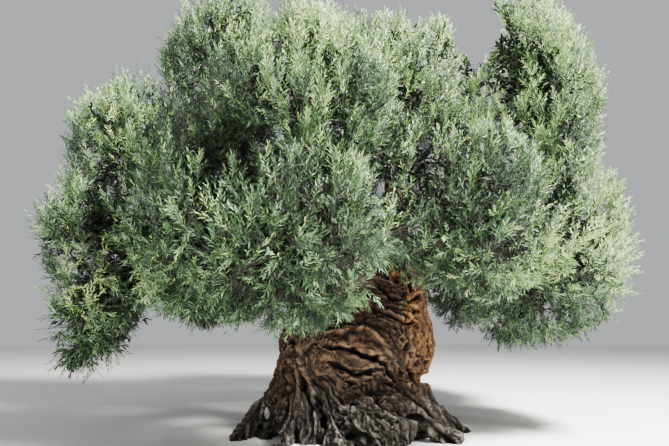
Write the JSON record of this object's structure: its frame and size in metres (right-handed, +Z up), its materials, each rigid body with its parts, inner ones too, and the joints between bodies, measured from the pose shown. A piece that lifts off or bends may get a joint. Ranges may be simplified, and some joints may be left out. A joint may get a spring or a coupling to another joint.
{
  "type": "ancient olive tree",
  "caption": "Old olive tree with a wide gnarled trunk on buttress roots, a short thick neck, spreading boughs and a broad, low, dense crown of fine silvery leaves.",
  "frame": {"origin": "middle of the flat cut under the trunk, at ground level", "axes": "+Z up, +X to the right across the crown's widest side, -Y towards the viewer"},
  "size_m": [11.1374, 9.3199, 9.5918],
  "materials": {
    "bark": "rough, deeply furrowed and pitted grey-brown bark",
    "leaves": "fine leathery leaves, grey-green above and silvery below"
  },
  "bodies": {
    "root": {"trunk": "bark", "bough_upper_left": "bark", "bough_top": "bark", "bough_front_upper": "bark", "bough_front_lower": "bark", "bough_front_left": "bark", "bough_left_upper": "bark", "bough_left_lower": "bark", "bough_back_left": "bark", "bough_middle": "bark", "bough_right_upper": "bark", "bough_right_lower": "bark", "bough_centre_right": "bark", "bough_back_right": "bark", "bough_back_middle": "bark", "bough_back_top": "bark", "foliage_front_upper": "leaves", "foliage_front_lower": "leaves", "foliage_front_left": "leaves", "foliage_left_upper": "leaves", "foliage_left_lower": "leaves", "foliage_upper_left": "leaves", "foliage_middle": "leaves", "foliage_top": "leaves", "foliage_right_upper": "leaves", "foliage_right_lower": "leaves", "foliage_centre_right": "leaves", "foliage_back_left": "leaves", "foliage_back_right": "leaves", "foliage_back_middle": "leaves", "foliage_back_top": "leaves", "foliage_inner_left": "leaves", "foliage_inner_right": "leaves", "foliage_left_skirt": "leaves"}
  },
  "joints": []
}
